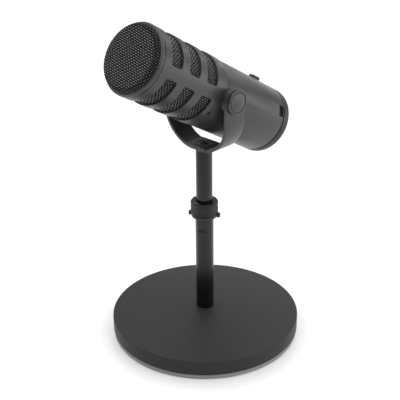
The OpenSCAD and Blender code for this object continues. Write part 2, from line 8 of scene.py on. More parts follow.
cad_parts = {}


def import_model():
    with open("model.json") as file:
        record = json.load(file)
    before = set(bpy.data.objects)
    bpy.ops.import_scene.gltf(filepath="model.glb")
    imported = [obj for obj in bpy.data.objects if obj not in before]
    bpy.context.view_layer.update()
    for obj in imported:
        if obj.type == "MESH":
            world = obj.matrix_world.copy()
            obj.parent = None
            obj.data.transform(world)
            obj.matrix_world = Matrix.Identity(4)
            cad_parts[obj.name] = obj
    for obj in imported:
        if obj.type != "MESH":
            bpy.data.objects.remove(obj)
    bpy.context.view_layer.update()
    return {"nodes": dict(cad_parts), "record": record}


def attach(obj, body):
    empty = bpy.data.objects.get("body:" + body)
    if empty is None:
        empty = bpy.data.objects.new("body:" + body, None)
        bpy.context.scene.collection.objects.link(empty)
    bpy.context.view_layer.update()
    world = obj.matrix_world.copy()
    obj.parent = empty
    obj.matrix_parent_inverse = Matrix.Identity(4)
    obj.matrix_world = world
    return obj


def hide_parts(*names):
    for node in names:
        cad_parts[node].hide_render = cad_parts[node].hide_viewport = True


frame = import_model()
nodes = frame["nodes"]
MM = 0.001
rad = math.radians

# ---------------------------------------------------------------- sizes, in mm, as in the CAD
PIVOT_Z = 253.5
TILT = 31.0
BODY_R, HEAD_R = 32.5, 33.2
HEAD_IN = 31.2
SEAM = 8.0
HEAD_LEN = 99.0
HEAD_END = 95.0
REAR = -95.5
RING_LEN, RING_GAP = 8.6, 1.0
SLOT_FRONT, SLOT_W, SLOT_PITCH, SPINE = 85.8, 14.8, 24.4, 5.7
YZ = 199.1            # underside of the yoke
YOKE_X, YOKE_T, BEND_R = 40.3, 2.8, 35.0
MIC = Matrix.Translation((0, 0, PIVOT_Z * MM)) @ Matrix.Rotation(rad(90 - TILT), 4, "X")
WORLD = Matrix.Identity(4)
SIDE_R = MIC @ Matrix.Rotation(rad(90), 4, "Y")     # local +Z points out of the near side
SIDE_L = MIC @ Matrix.Rotation(rad(-90), 4, "Y")


# ---------------------------------------------------------------- materials
EDGE_WEAR_HIGHLIGHT_RADIUS = 0.6 * MM      # how far from an edge its coat is worn and its painted highlight reaches
BUMP_DEPTH = 0.1 * MM


def N(nt, kind, **vals):
    n = nt.nodes.new(kind)
    for k, v in vals.items():
        if hasattr(n, k):
            setattr(n, k, v)
    return n


def material(name, color, rough=0.45, metallic=0.0, spec=0.5, grain=2600.0, bump=0.15,
             vary=0.12, rough_var=0.08, cloud=55.0, edge=0.0, alpha=1.0,
             sheen=0.0, soften=0.0, low=None):
    """Procedural finish: fine grain, broad cloudy variation, and optionally edges lightened as worn coat with a
    painted highlight, and painted shade in the valleys of a weave.
    """
    m = bpy.data.materials.new(name)
    m.use_nodes = True
    nt = m.node_tree
    b = nt.nodes["Principled BSDF"]
    L = nt.links.new
    tc = N(nt, "ShaderNodeTexCoord")
    fine = N(nt, "ShaderNodeTexNoise")
    fine.inputs["Scale"].default_value = grain
    fine.inputs["Detail"].default_value = 3.0
    L(tc.outputs["Object"], fine.inputs["Vector"])
    broad = N(nt, "ShaderNodeTexNoise")
    broad.inputs["Scale"].default_value = cloud
    broad.inputs["Detail"].default_value = 4.0
    L(tc.outputs["Object"], broad.inputs["Vector"])
    mix = N(nt, "ShaderNodeMix", data_type="RGBA")
    dark = [c * (1 - vary) for c in color[:3]] + [1]
    light = [min(1, c * (1 + vary)) for c in color[:3]] + [1]
    mix.inputs["A"].default_value = dark
    mix.inputs["B"].default_value = light
    addn = N(nt, "ShaderNodeMath", operation="MULTIPLY_ADD")
    addn.inputs[1].default_value = 0.5
    L(broad.outputs["Fac"], addn.inputs[0])
    half = N(nt, "ShaderNodeMath", operation="MULTIPLY")
    half.inputs[1].default_value = 0.5
    L(fine.outputs["Fac"], half.inputs[0])
    L(half.outputs[0], addn.inputs[2])
    L(addn.outputs[0], mix.inputs["Factor"])
    colour = mix.outputs["Result"]
    # Edges lightened: partly a worn coat, partly a painted highlight along them.
    if edge > 0:
        bev = N(nt, "ShaderNodeBevel", samples=4)
        bev.inputs["Radius"].default_value = EDGE_WEAR_HIGHLIGHT_RADIUS
        geo = N(nt, "ShaderNodeNewGeometry")
        dot = N(nt, "ShaderNodeVectorMath", operation="DOT_PRODUCT")
        L(bev.outputs["Normal"], dot.inputs[0])
        L(geo.outputs["Normal"], dot.inputs[1])
        mr = N(nt, "ShaderNodeMapRange")
        mr.inputs["From Min"].default_value = 0.995
        mr.inputs["From Max"].default_value = 0.9
        mr.inputs["To Min"].default_value = 0.0
        mr.inputs["To Max"].default_value = edge
        L(dot.outputs["Value"], mr.inputs["Value"])
        mulw = N(nt, "ShaderNodeMath", operation="MULTIPLY")
        L(mr.outputs["Result"], mulw.inputs[0])
        L(broad.outputs["Fac"], mulw.inputs[1])
        edge_wear_and_light = N(nt, "ShaderNodeMix", data_type="RGBA")
        edge_wear_and_light.inputs["B"].default_value = [min(1, c * 1.5 + 0.10) for c in color[:3]] + [1]
        L(mulw.outputs[0], edge_wear_and_light.inputs["Factor"])
        L(colour, edge_wear_and_light.inputs["A"])
        colour = edge_wear_and_light.outputs["Result"]
    if low is not None:                 # painted shade in the valleys of a weave and painted highlight on its crowns; the painted-light factor is stored on its mesh
        weave_light = N(nt, "ShaderNodeAttribute", attribute_name="weave_light")
        deep = N(nt, "ShaderNodeMix", data_type="RGBA")
        deep.inputs["A"].default_value = (low, low, low, 1)
        L(weave_light.outputs["Fac"], deep.inputs["Factor"])
        L(colour, deep.inputs["B"])
        colour = deep.outputs["Result"]
    L(colour, b.inputs["Base Color"])
    rr = N(nt, "ShaderNodeMapRange")
    rr.inputs["To Min"].default_value = max(0.02, rough - rough_var)
    rr.inputs["To Max"].default_value = min(1, rough + rough_var)
    L(addn.outputs[0], rr.inputs["Value"])
    L(rr.outputs["Result"], b.inputs["Roughness"])
    if bump > 0:
        bp = N(nt, "ShaderNodeBump")
        bp.inputs["Strength"].default_value = bump
        bp.inputs["Distance"].default_value = BUMP_DEPTH
        L(fine.outputs["Fac"], bp.inputs["Height"])
        if soften > 0:
            bv = N(nt, "ShaderNodeBevel", samples=4)
            bv.inputs["Radius"].default_value = soften
            L(bv.outputs["Normal"], bp.inputs["Normal"])
        L(bp.outputs["Normal"], b.inputs["Normal"])
    b.inputs["Metallic"].default_value = metallic
    b.inputs["Specular IOR Level"].default_value = spec
    b.inputs["Sheen Weight"].default_value = sheen
    if alpha < 1:
        b.inputs["Alpha"].default_value = alpha
    m.diffuse_color = list(color[:3]) + [1]
    return m


# name, (colour, roughness, metallic, specular, grain, bump, variation, roughness variation, cloud), extras
# Extras that lighten edges give a worn coat with a painted highlight there; the extra for weave valleys is the
# colour of their painted shade.
FINISHES = (
    ("base_coat", ((0.021, 0.021, 0.0225), 0.5, 0.0, 0.24, 1500, 0.5, 0.25, 0.05, 30), {"edge": 0.2}),
    ("pad", ((0.24, 0.24, 0.24), 0.7, 0, 0.4, 1800, 0.5, 0.10, 0.05, 70), {"sheen": 0.1}),
    ("zinc", ((0.55, 0.56, 0.58), 0.32, 1.0, 0.5, 1200, 0.1, 0.1, 0.08, 40), {"soften": 0.0003}),
    ("tube_gloss", ((0.0025, 0.0025, 0.003), 0.25, 0.0, 0.40, 600, 0.02, 0.2, 0.04, 25), {}),
    ("nylon", ((0.045, 0.045, 0.048), 0.55, 0, 0.5, 1500, 0.2, 0.12, 0.05, 60), {"soften": 0.0003}),
    ("black_plastic", ((0.020, 0.020, 0.021), 0.38, 0, 0.5, 1800, 0.12, 0.15, 0.06, 60), {}),
    ("collar_plastic", ((0.003, 0.003, 0.0035), 0.27, 0, 0.33, 1600, 0.1, 0.15, 0.06, 60), {}),
    ("dark_steel", ((0.055, 0.055, 0.058), 0.30, 0.8, 0.5, 1500, 0.1, 0.12, 0.08, 60), {"edge": 0.3}),
    ("body_coat", ((0.022, 0.022, 0.0245), 0.38, 0.0, 0.52, 2600, 0.2, 0.10, 0.05, 40), {"edge": 0.3}),
    ("head_coat", ((0.031, 0.031, 0.034), 0.38, 0.0, 0.53, 2600, 0.2, 0.10, 0.05, 40), {"edge": 0.3}),
    ("yoke_coat", ((0.033, 0.033, 0.036), 0.38, 0.0, 0.46, 2600, 0.2, 0.10, 0.05, 40), {"edge": 0.8}),
    ("cap_plastic", ((0.009, 0.009, 0.010), 0.42, 0.0, 0.42, 2600, 0.15, 0.10, 0.05, 40), {"edge": 0.3}),
    ("bolt_black", ((0.018, 0.018, 0.019), 0.34, 0.5, 0.5, 1500, 0.1, 0.12, 0.08, 60), {}),
    ("ring_coat", ((0.012, 0.012, 0.0135), 0.38, 0.0, 0.42, 2600, 0.2, 0.10, 0.05, 40), {"edge": 0.8}),
    ("knob_coat", ((0.017, 0.017, 0.019), 0.36, 0.0, 0.6, 2600, 0.15, 0.10, 0.05, 40), {"edge": 0.4}),
    ("brass", ((0.72, 0.52, 0.26), 0.3, 1.0, 0.5, 900, 0.1, 0.1, 0.08, 40), {}),
    ("rubber_black", ((0.016, 0.016, 0.016), 0.7, 0, 0.4, 1500, 0.3, 0.15, 0.05, 60), {}),
    ("mesh_steel", ((0.36, 0.36, 0.37), 0.24, 1.0, 0.5, 1500, 0.05, 0.2, 0.06, 120), {"low": 0.012}),
    ("grille_steel", ((0.42, 0.42, 0.43), 0.24, 1.0, 0.5, 1500, 0.05, 0.2, 0.06, 120), {"low": 0.014}),
    ("foam", ((0.006, 0.006, 0.006), 0.95, 0, 0.2, 900, 0.9, 0.3, 0.03, 60), {}),
    ("capsule_alu", ((0.62, 0.63, 0.65), 0.3, 1.0, 0.5, 1200, 0.1, 0.06, 0.06, 40), {}),
    ("film", ((0.8, 0.82, 0.84), 0.15, 0, 0.5, 600, 0.05, 0.05, 0.03, 40), {"alpha": 0.5}),
    ("copper", ((0.72, 0.40, 0.22), 0.3, 1.0, 0.5, 1800, 0.3, 0.12, 0.08, 40), {}),
    ("magnet_nickel", ((0.55, 0.55, 0.55), 0.2, 1.0, 0.5, 800, 0.05, 0.05, 0.05, 40), {}),
    ("lead_red", ((0.45, 0.04, 0.03), 0.35, 0, 0.5, 1500, 0.1, 0.1, 0.05, 60), {}),
    ("board_green", ((0.03, 0.14, 0.06), 0.3, 0, 0.5, 700, 0.25, 0.25, 0.06, 90), {}),
    ("chip_black", ((0.025, 0.025, 0.027), 0.55, 0, 0.5, 1500, 0.2, 0.1, 0.05, 60), {}),
    ("panel_black", ((0.026, 0.026, 0.028), 0.5, 0, 0.5, 1700, 0.4, 0.2, 0.06, 40), {"edge": 0.2}),
    ("connector_metal", ((0.42, 0.43, 0.44), 0.28, 1.0, 0.5, 1200, 0.08, 0.08, 0.06, 40), {}),
    ("gold", ((0.80, 0.60, 0.28), 0.22, 1.0, 0.5, 900, 0.05, 0.06, 0.05, 40), {}),
    ("switch_black", ((0.015, 0.015, 0.016), 0.48, 0, 0.5, 2000, 0.3, 0.15, 0.06, 60), {}),
)
MATS = {name: material(name, *values, **extras) for name, values, extras in FINISHES}


# ---------------------------------------------------------------- mesh helpers
def shade(me, angle):
    me.polygons.foreach_set("use_smooth", [True] * len(me.polygons))
    me.set_sharp_from_angle(angle=rad(angle))


def obj(name, verts, faces, place=WORLD, angle=32.0):
    me = bpy.data.meshes.new(name)
    me.from_pydata([tuple(place @ (Vector(v) * MM)) for v in verts], [], faces)
    me.validate()
    bm = bmesh.new()
    bm.from_mesh(me)
    bmesh.ops.remove_doubles(bm, verts=bm.verts, dist=1e-6)
    bmesh.ops.recalc_face_normals(bm, faces=bm.faces)
    bm.to_mesh(me)
    bm.free()
    shade(me, angle)
    o = bpy.data.objects.new(name, me)
    bpy.context.scene.collection.objects.link(o)
    return o


def merge(name, objs):
    bm = bmesh.new()
    for o in objs:
        bm.from_mesh(o.data)
        bpy.data.objects.remove(o)
    me = bpy.data.meshes.new(name)
    bm.to_mesh(me)
    bm.free()
    shade(me, 32)
    o = bpy.data.objects.new(name, me)
    bpy.context.scene.collection.objects.link(o)
    return o


def rounded(pts, steps=4):
    """Closed outline of (x, y, corner radius) with its corners turned into arcs."""
    out = []
    n = len(pts)
    for i, (x, y, r) in enumerate(pts):
        p = Vector((x, y))
        if r <= 0:
            out.append((x, y))
            continue
        a = Vector(pts[i - 1][:2]) - p
        b = Vector(pts[(i + 1) % n][:2]) - p
        la, lb = a.length, b.length
        a.normalize()
        b.normalize()
        ang = math.acos(max(-1, min(1, a.dot(b))))
        t = min(r / math.tan(ang / 2), 0.49 * la, 0.49 * lb)
        r = t * math.tan(ang / 2)
        c = p + (a + b).normalized() * (r / math.sin(ang / 2))
        s, e = p + a * t, p + b * t
        a0 = math.atan2(s.y - c.y, s.x - c.x)
        a1 = math.atan2(e.y - c.y, e.x - c.x)
        d = (a1 - a0 + math.pi) % (2 * math.pi) - math.pi
        for k in range(steps + 1):
            w = a0 + d * k / steps
            out.append((c.x + r * math.cos(w), c.y + r * math.sin(w)))
    return out


def lathe(name, prof, place=WORLD, n=128, closed=True, mod=None, angle=32.0):
    """Turns (r, z) points about local Z. mod(r, z, angle) may give another radius."""
    verts, faces = [], []
    m = len(prof)
    for i in range(n):
        a = 2 * math.pi * i / n
        for (r, z) in prof:
            q = mod(r, z, a) if mod else r
            verts.append((q * math.cos(a), q * math.sin(a), z))
    last = m if closed else m - 1
    for i in range(n):
        j = (i + 1) % n
        for k in range(last):
            l = (k + 1) % m
            faces.append((i * m + k, j * m + k, j * m + l, i * m + l))
    return obj(name, verts, faces, place, angle)


def prism(name, outline, lo, hi, axis="Z", place=WORLD):
    """Extrudes a closed 2-D outline. Axis Z: (x, y). Axis Y: (x, z). Axis X: (y, z)."""
    def at(p, h):
        return {"Z": (p[0], p[1], h), "Y": (p[0], h, p[1]), "X": (h, p[0], p[1])}[axis]
    n = len(outline)
    verts = [at(p, lo) for p in outline] + [at(p, hi) for p in outline]
    faces = [tuple(range(n)), tuple(range(2 * n - 1, n - 1, -1))]
    faces += [(i, (i + 1) % n, n + (i + 1) % n, n + i) for i in range(n)]
    return obj(name, verts, faces, place)


def applied(o):
    dg = bpy.context.evaluated_depsgraph_get()
    me = bpy.data.meshes.new_from_object(o.evaluated_get(dg))
    o.modifiers.clear()
    o.data = me
    return o


def boolean(a, cutters, op="DIFFERENCE"):
    for c in cutters:
        md = a.modifiers.new("cut", "BOOLEAN")
        md.operation = op
        md.solver = "EXACT"
        md.object = c
    applied(a)
    for c in cutters:
        bpy.data.objects.remove(c)
    return a


def bevel(o, width, segs=2, limit=35.0, angle=50.0):
    md = o.modifiers.new("bevel", "BEVEL")
    md.width = width * MM
    md.segments = segs
    md.limit_method = "ANGLE"
    md.angle_limit = rad(limit)
    md.harden_normals = False
    applied(o)
    shade(o.data, angle)
    return o


def place_piece(o, body, slot, *replaced, mat=None):
    o.data.materials.clear()
    o.data.materials.append(MATS[mat or slot])
    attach(o, body)
    if replaced:
        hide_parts(*replaced)
    return o


# ---------------------------------------------------------------- stand
def dome(r):
    return 26.4 - 6.6 * (r / 93.75) ** 2


top = [(r, dome(r)) for r in [92.0 - 83.1 * i / 22 for i in range(23)]]
outline = rounded([(5.3, 12.6, 0), (11, 12.6, 0), (11, 4.6, 0.3), (92.6, 4.6, 0.3), (93.75, 5.5, 0.5),
                   (93.75, 20.0, 1.7)] + [(92.0, dome(92.0), 0.2)] + [(r, z, 0) for r, z in top[1:]]
                  + [(8.9, 23.4, 0), (5.3, 23.4, 0)], 5)
place_piece(lathe("base", outline, n=256, angle=40), "stand", "base_coat", "base_plate")
place_piece(lathe("pad_disc", rounded([(0, 0, 0), (92.85, 0, 1.2), (92.85, 4.6, 0.2), (0, 4.6, 0)]), n=192),
            "stand", "pad", "base_pad")


def dimple(r, z, a):
    if r < 8.5:
        return r
    d = (a - rad(-64) + math.pi) % (2 * math.pi) - math.pi
    u, v = d * r / 4.4, (z - 113.7) / 1.5
    w = u * u + v * v
    return r - (0.62 * (1 - w) ** 0.6 if w < 1 else 0)


zs = [23.4, 40, 60, 80, 100, 110, 111.6] + [112.0 + 0.17 * i for i in range(21)] + [115.8, 118, 134.7]
lower = [(8.0, 134.7), (8.0, 23.4)] + [(8.85, z) for z in zs]
place_piece(lathe("tube_lower", lower, n=192, mod=dimple, angle=45), "stand", "tube_gloss", "lower_tube")
upper = rounded([(6.85, 95, 0), (7.95, 95, 0.2), (7.95, 198.4, 0.3), (6.85, 198.4, 0)])
place_piece(lathe("tube_upper", upper, n=128), "mast", "tube_gloss", "upper_tube")

# clutch collar: ribs on its wall, chamfered rim, then a groove and a low cone up to the tube
RIBS = 40


def ribs(r, z, a):
    if r > 13.2 and 131.2 < z < 141.7:
        return r - 0.32 * (0.5 - 0.5 * math.cos(a * RIBS)) ** 0.5
    return r


wall = [(13.4, 131.0, 0), (13.4, 131.3, 0), (13.4, 136, 0), (13.4, 141.6, 0), (13.4, 142.0, 0)]
prof = rounded([(10.45, 129.7, 0.1), (12.9, 129.7, 0.3), (13.4, 130.4, 0.3)] + wall +
               [(13.4, 142.6, 0.4), (12.5, 143.7, 0.25), (11.9, 143.7, 0.2), (11.2, 142.7, 0.2),
                (8.6, 143.65, 0.2), (8.3, 143.6, 0), (8.3, 138.7, 0), (10.45, 138.2, 0)], 3)
collar = lathe("collar", prof, n=RIBS * 8, mod=ribs, angle=38)
place_piece(collar, "clutch", "collar_plastic", "clutch_collar")

# ring under the collar, with a web and a round ear at each side
EAR_ANGLES = (31, 211)
ring = rounded([(8.95, 127.2, 0.1), (12.8, 127.2, 0.7), (12.8, 129.6, 0.3), (8.95, 129.6, 0)])
ear = rounded([(0, 0, 0), (2.5, 0, 0.2), (2.5, 1.95, 0.6), (1.2, 1.95, 0.2), (1.0, 1.5, 0.1), (0, 1.5, 0)])
web = rounded([(11.8, -1.6, 0), (14.5, -1.6, 0.3), (14.5, 1.6, 0.3), (11.8, 1.6, 0)])
parts = [lathe("er", ring, n=96)]
for side in EAR_ANGLES:
    turn = Matrix.Rotation(rad(side), 4, "Z")
    lobe = turn @ Matrix.Translation((13.65 * MM, 0, 129.1 * MM)) @ Matrix.Rotation(rad(90), 4, "Y")
    parts.append(lathe("lobe", ear, lobe, n=40))
    parts.append(prism("web", web, 127.25, 129.55, place=turn))
place_piece(merge("ear_ring", parts), "stand", "black_plastic", "clutch_ear_ring")

# ---------------------------------------------------------------- yoke
bc = YOKE_X - BEND_R
cz = YZ + BEND_R


def bow(r, a0, a1, sx, steps=28):
    return [(sx * (bc + r * math.cos(rad(a0 + (a1 - a0) * i / steps))),
             cz - r * math.sin(rad(a0 + (a1 - a0) * i / steps))) for i in range(steps + 1)]


inner_r = BEND_R - YOKE_T
seat_a = math.degrees(math.acos((12.0 - bc) / inner_r))
seat_z = YZ + 4.3
outline = ([(-YOKE_X, 270)] + bow(BEND_R, 0, 90, -1) + bow(BEND_R, 90, 0, 1) + [(YOKE_X, 270)]
           + [(YOKE_X - YOKE_T, 270)] + bow(inner_r, 0, seat_a, 1) + [(12.0, seat_z), (-12.0, seat_z)]
           + bow(inner_r, seat_a, 0, -1) + [(-YOKE_X + YOKE_T, 270)])
strap = prism("yoke_strap", outline, -30, 30, "Y")
side = [(-10.5, YZ - 3), (10.5, YZ - 3), (10.5, YZ + 6.3), (12.1, cz)]
side += [(12.1 * math.cos(rad(a)), PIVOT_Z + 12.1 * math.sin(rad(a))) for a in range(0, 181, 6)]
side += [(-12.1, cz), (-10.5, YZ + 6.3)]
boolean(strap, [prism("side", side, -60, 60, "X")], "INTERSECT")
hole = lathe("hole", [(0, YZ - 5), (2.05, YZ - 5), (2.05, YZ + 9), (0, YZ + 9)], n=32)
notch = prism("notch", [(11.7, -30), (13.5, -30), (13.5, -8.5), (11.7, -8.5)], YZ - 5, YZ + 12, "Z")
BOLT_SINK = 1.5       # depth of the round recess that the bolt's head sits in
sink_z = seat_z - BOLT_SINK
recess = lathe("recess", [(0, sink_z), (4.1, sink_z), (4.1, seat_z + 2), (0, seat_z + 2)], n=48)
studs = lathe("studs", [(0, -60), (3.05, -60), (3.05, 60), (0, 60)], SIDE_R, n=48)
cuts = [hole, notch, recess, studs]
for y in (-10.0, 9.1):
    line = [(-11.5, y), (11.5, y), (11.5, y + 0.9), (-11.5, y + 0.9)]
    cuts.append(prism("line", line, seat_z - 0.8, seat_z + 2))
boolean(strap, cuts)
bevel(strap, 0.35, 3, 40)
place_piece(strap, "yoke", "yoke_coat", "yoke")

# the yoke's bolt: a low head with fine splines round a shallow round socket
head_z = sink_z + 0.1


def splines(r, z, a):
    return r - 0.45 * (0.5 - 0.5 * math.cos(a * 16)) if r > 3.2 and z > head_z + 0.2 else r


bolt = rounded([(0, head_z, 0), (3.6, head_z, 0.1), (3.6, head_z + 0.3, 0), (3.6, head_z + 1.6, 0),
                (3.3, head_z + 1.9, 0.1), (1.9, head_z + 1.9, 0.1), (1.7, head_z + 0.8, 0),
                (0, head_z + 0.7, 0)])
bolt = lathe("bolt_head", bolt, n=128, mod=splines, angle=45)
shank = lathe("bolt_shank", [(0, 186.4), (2.0, 186.4), (2.0, head_z + 0.1), (0, head_z + 0.1)], n=48)
place_piece(merge("yoke_bolt_piece", [bolt, shank]), "mast", "dark_steel", "yoke_bolt", mat="bolt_black")

# ---------------------------------------------------------------- knobs, spacers
# a neck, a wall with a rounded rim, a groove, and a face that is slightly domed
face = [(8.85 * (1 - i / 8), 2.95 + 1.1 * (1 - (1 - i / 8) ** 2), 0) for i in range(1, 8)]
knob = rounded([(0, 0, 0), (10.0, 0, 0), (10.0, 0.95, 0), (11.3, 1.0, 0.1), (11.7, 1.3, 0.2),
                (11.7, 3.0, 1.4), (9.95, 3.05, 0.25), (9.65, 2.35, 0.1), (9.15, 2.35, 0.1),
                (8.85, 2.95, 0.2)] + face + [(0, 4.05, 0)], 5)
for nm, base in (("right_knob", SIDE_R), ("left_knob", SIDE_L)):
    at = base @ Matrix.Translation((0, 0, (YOKE_X + 0.1) * MM))
    place_piece(lathe(nm + "_disc", knob, at, n=128), nm, "knob_coat", nm)
spacer = rounded([(5.6, 30.2, 0), (11, 30.2, 0), (11, 36.5, 0.5), (5.6, 36.5, 0)])
washer = rounded([(3.1, 36.62, 0), (10.6, 36.62, 0.2), (10.6, 37.4, 0.2), (3.1, 37.4, 0)])
spacers = [lathe("sp", spacer, base, n=96) for base in (SIDE_R, SIDE_L)]
place_piece(merge("spacer_pair", spacers), "mic", "body_coat", "pivot_spacers")
washers = [lathe("w", washer, base, n=96) for base in (SIDE_R, SIDE_L)]
place_piece(merge("friction_pair", washers), "mic", "rubber_black", "friction_washers")

# ---------------------------------------------------------------- head frame with its slots
SCREW_ANGLES = (-123, 0, 123)
SCREW_Z = 15.0


def radial(angle, r):
    """A place at a screw's station on the head, its +Z pointing outwards."""
    out = Matrix.Translation((0, r * MM, SCREW_Z * MM)) @ Matrix.Rotation(rad(-90), 4, "X")
    return MIC @ Matrix.Rotation(rad(angle), 4, "Z") @ out


groove_r, groove_z = HEAD_R - 0.6, HEAD_END - 0.6
shell = rounded([(HEAD_IN, SEAM + 0.1, 0), (HEAD_R, SEAM + 0.1, 0.55), (HEAD_R, groove_z, 0.15),
                 (groove_r, groove_z, 0), (groove_r, HEAD_END, 0), (HEAD_IN, HEAD_END, 0)], 3)
shell = lathe("head_shell", shell, MIC, n=216)
cuts = []
for i in range(3):
    z1 = SLOT_FRONT - i * SLOT_PITCH
    z0 = z1 - SLOT_W
    for s in (1, -1):
        o2 = rounded([(s * SPINE, z0, 2.6), (s * 60, z0, 0), (s * 60, z1, 0), (s * SPINE, z1, 2.6)], 8)
        cuts.append(prism("slot", o2, -60, 60, "X", MIC))
well = [(0, -5), (1.35, -5), (1.35, -2.0), (1.95, -1.4), (1.95, 0.5), (0, 0.5)]
for a in SCREW_ANGLES:
    cuts.append(lathe("sink", well, radial(a, HEAD_R), n=40))
boolean(shell, cuts)
bevel(shell, 0.28, 2, 40)
place_piece(shell, "mic", "head_coat", "head_frame")

screw = rounded([(0, -4.5, 0), (1.2, -4.5, 0), (1.2, -1.1, 0), (1.75, -0.6, 0.05), (1.75, 0, 0.15),
                 (1.05, 0, 0.1), (0.9, -1.1, 0), (0, -1.2, 0)], 2)
screws = [lathe("scr", screw, radial(a, HEAD_R - 0.75), n=36) for a in SCREW_ANGLES]
place_piece(merge("head_screws", screws), "mic", "dark_steel", "housing_screws")

# front ring
ring = rounded([(31.5, HEAD_END + 0.05, 0), (33.2, HEAD_END + 0.05, 0.35), (33.2, 97.0, 0.3),
                (32.7, 98.0, 0.4), (31.9, 99.0, 0.3), (31.45, 99.0, 0)], 4)
place_piece(lathe("ring_front", ring, MIC, n=216, angle=40), "mic", "head_coat", "front_ring")


# ---------------------------------------------------------------- woven wire
def wire_mesh(name, paths, radius, sides):
    """Tubes along lists of (point, surface normal, painted light), in one mesh. The painted light is 1 on a
    wire's crown, a painted highlight, and 0 below it, a painted shade.
    """
    verts, faces, weave_lights = [], [], []
    for pts in paths:
        n = len(pts)
        start = len(verts)
        for i, (p, up, crown) in enumerate(pts):
            d = (pts[min(i + 1, n - 1)][0] - pts[max(i - 1, 0)][0]).normalized()
            side_v = d.cross(up).normalized()
            up2 = side_v.cross(d)
            if up2.dot(up) < 0:
                up2.negate()
            for k in range(sides):
                a = 2 * math.pi * (k + 0.5) / sides
                verts.append(tuple(p + (side_v * math.cos(a) + up2 * math.sin(a)) * radius))
                # Painted light: the wire's outer side brighter, its inner side darker as painted shade.
                weave_lights.append(crown * (0.55 + 0.45 * math.sin(a)))
        for i in range(n - 1):
            for k in range(sides):
                l = (k + 1) % sides
                faces.append((start + i * sides + k, start + i * sides + l,
                              start + (i + 1) * sides + l, start + (i + 1) * sides + k))
    me = bpy.data.meshes.new(name)
    me.from_pydata([tuple((MIC @ (Vector(v) * MM))) for v in verts], [], faces)
    me.attributes.new("weave_light", "FLOAT", "POINT").data.foreach_set("value", weave_lights)
    bm = bmesh.new()
    bm.from_mesh(me)
    bmesh.ops.recalc_face_normals(bm, faces=bm.faces)
    bm.to_mesh(me)
    bm.free()
    me.polygons.foreach_set("use_smooth", [True] * len(me.polygons))
    o = bpy.data.objects.new(name, me)
    bpy.context.scene.collection.objects.link(o)
    return o


# Painted light on a wire: a painted highlight on its crown fading to painted shade where it dips under; gain
# sets how bright the highlight is painted.
def crown(phase, gain):
    return gain * (0.5 + 0.5 * math.cos(phase)) ** 1.5


GR, GROUND = 30.85, 4.6       # centre line of the wires: radius of the skirt and of the shoulder
SHEET = HEAD_LEN + 5 - 0.8    # height of the flat face's centre line
FLAT = GR - GROUND
TURN = GROUND * math.pi / 2


def cap(p, q, h):
    """A point of the pressed cap: its sheet is flat, then bends down over the shoulder."""
    rho = math.hypot(p, q)
    c, s = (p / rho, q / rho) if rho > 1e-9 else (1, 0)
    if rho <= FLAT:
        r, z, nr, nz = rho, SHEET, 0, 1
    elif rho <= FLAT + TURN:
        t = (rho - FLAT) / GROUND
        r, z = FLAT + GROUND * math.sin(t), SHEET - GROUND * (1 - math.cos(t))
        nr, nz = math.sin(t), math.cos(t)
    else:
        r, z, nr, nz = GR, SHEET - GROUND - (rho - FLAT - TURN), 1, 0
    return Vector(((r + nr * h) * c, (r + nr * h) * s, z + nz * h)), Vector((nr * c, nr * s, nz))


PITCH, AMP, WIRE, LAY = 1.89, 0.44, 0.28, rad(-10.8)
LIMIT = FLAT + TURN + 2.6
paths = []
count = int(LIMIT / PITCH)
for family in (0, 1):
    for i in range(-count, count + 1):
        off = i * PITCH
        half = math.sqrt(LIMIT ** 2 - off ** 2)
        last = math.floor(4 * half / PITCH)
        if last < 2:
            continue
        pts = []
        for k in range(-last, last + 1):
            t = k * PITCH / 4
            w = math.pi * (t / PITCH + i + family)
            u, v = (t, off) if family == 0 else (off, t)
            # Painted light: crowns on the cap's shoulder dimmed toward painted shade, and the second wire
            # family painted with a weaker highlight than the first.
            edge_wear_and_light = 0.45 if math.hypot(u, v) > FLAT + 1.2 else 1.0
            x, y = u * math.cos(LAY) - v * math.sin(LAY), u * math.sin(LAY) + v * math.cos(LAY)
            p, out = cap(x, y, AMP * math.cos(w))
            pts.append((p, out, edge_wear_and_light * crown(w, 0.35 if family else 1)))
        paths.append(pts)
place_piece(wire_mesh("grille_weave", paths, WIRE, 6), "mic", "grille_steel", "front_grille")

# the same cloth rolled behind the slots: wires along the axis and hoops round it
MR, MAMP, MWIRE, AROUND, HOOP = 30.5, 0.38, 0.25, 100, 1.8
# Painted light: axial wires get a weak painted highlight on their crowns, hoops a full one.
paths = []
for b in range(3):
    k1 = math.ceil((SLOT_FRONT - b * SLOT_PITCH + 1.2) / HOOP)
    k0 = math.floor((SLOT_FRONT - b * SLOT_PITCH - SLOT_W - 1.2) / HOOP)
    for i in range(AROUND):
        a = 2 * math.pi * i / AROUND
        out = Vector((math.sin(a), math.cos(a), 0))
        pts = []
        for k in range(4 * k0, 4 * k1 + 1):
            w = math.pi * (k / 4 + i)
            pts.append((out * (MR + MAMP * math.cos(w)) + Vector((0, 0, k * HOOP / 4)), out, crown(w, 0.35)))
        paths.append(pts)
    for k in range(k0, k1 + 1):
        pts = []
        for i in range(4 * AROUND + 1):
            a = 2 * math.pi * i / AROUND / 4
            out = Vector((math.sin(a), math.cos(a), 0))
            w = math.pi * (i / 4 + k + 1)
            pts.append((out * (MR + MAMP * math.cos(w)) + Vector((0, 0, k * HOOP)), out, crown(w, 1)))
        paths.append(pts)
place_piece(wire_mesh("side_weave", paths, MWIRE, 5), "mic", "mesh_steel", "side_mesh")

